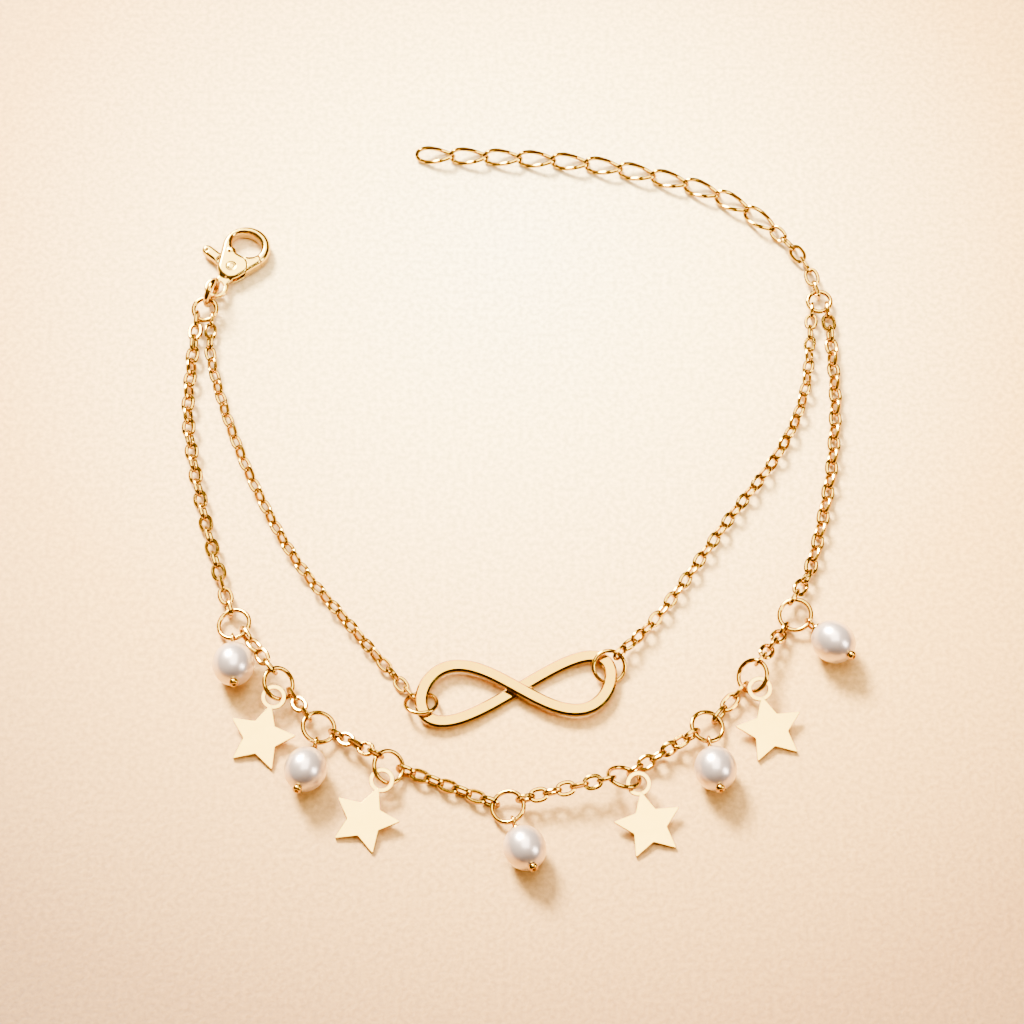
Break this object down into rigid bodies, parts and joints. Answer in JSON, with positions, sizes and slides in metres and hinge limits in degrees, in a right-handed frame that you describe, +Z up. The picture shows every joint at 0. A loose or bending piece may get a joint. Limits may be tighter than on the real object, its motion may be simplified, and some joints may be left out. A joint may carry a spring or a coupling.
{
  "type": "charm anklet",
  "caption": "Open charm anklet: two strands joined at a lobster clasp, with an infinity link, pearl drops and flat stars on jump rings, and an extender chain.",
  "frame": {"origin": "middle of the outline on the table, at the height of the table", "axes": "+X from the clasp's side to the extender's side, +Y from the hanging charms towards the clasp and the extender, +Z up from the table"},
  "size_m": [0.1008, 0.1248, 0.0062],
  "materials": {
    "chain_metal": "polished gold-coloured plating",
    "ring_metal": "polished gold-coloured plating",
    "clasp_metal": "polished gold-coloured plating",
    "infinity_metal": "polished gold-coloured plating",
    "star_plate": "bright pale gold-coloured plating, nearly flat mirror",
    "pearl": "smooth pearly coating, white with a lilac tint"
  },
  "bodies": {
    "anklet": {"clasp_body": "clasp_metal", "clasp_link_ring": "clasp_metal", "strand_ring": "ring_metal", "junction_ring": "ring_metal", "outer_chain_left": "chain_metal", "charm_ring_1": "ring_metal", "pearl_1": "pearl", "pearl_pin_1": "ring_metal", "outer_chain_1_2": "chain_metal", "charm_ring_2": "ring_metal", "star_2": "star_plate", "outer_chain_2_3": "chain_metal", "charm_ring_3": "ring_metal", "pearl_3": "pearl", "pearl_pin_3": "ring_metal", "outer_chain_3_4": "chain_metal", "charm_ring_4": "ring_metal", "star_4": "star_plate", "outer_chain_4_5": "chain_metal", "charm_ring_5": "ring_metal", "pearl_5": "pearl", "pearl_pin_5": "ring_metal", "outer_chain_5_6": "chain_metal", "charm_ring_6": "ring_metal", "star_6": "star_plate", "outer_chain_6_7": "chain_metal", "charm_ring_7": "ring_metal", "pearl_7": "pearl", "pearl_pin_7": "ring_metal", "outer_chain_7_8": "chain_metal", "charm_ring_8": "ring_metal", "star_8": "star_plate", "outer_chain_8_9": "chain_metal", "charm_ring_9": "ring_metal", "pearl_9": "pearl", "pearl_pin_9": "ring_metal", "outer_chain_right": "chain_metal", "inner_chain_left": "chain_metal", "inner_chain_right": "chain_metal", "extender_chain": "chain_metal", "infinity_ring_left": "ring_metal", "infinity_ring_right": "ring_metal", "infinity_link": "infinity_metal"},
    "clasp_lever": {"clasp_lever": "clasp_metal"}
  },
  "joints": [
    {"name": "clasp_lever_pivot", "type": "hinge", "parent": "anklet", "child": "clasp_lever", "pos_m": [-0.04355, 0.04003, 0.0011], "axis": [0, 0, 1], "range_deg": [0, 25], "stiffness_Nm_per_rad": 0.0005, "springref_deg": -11.46}
  ]
}
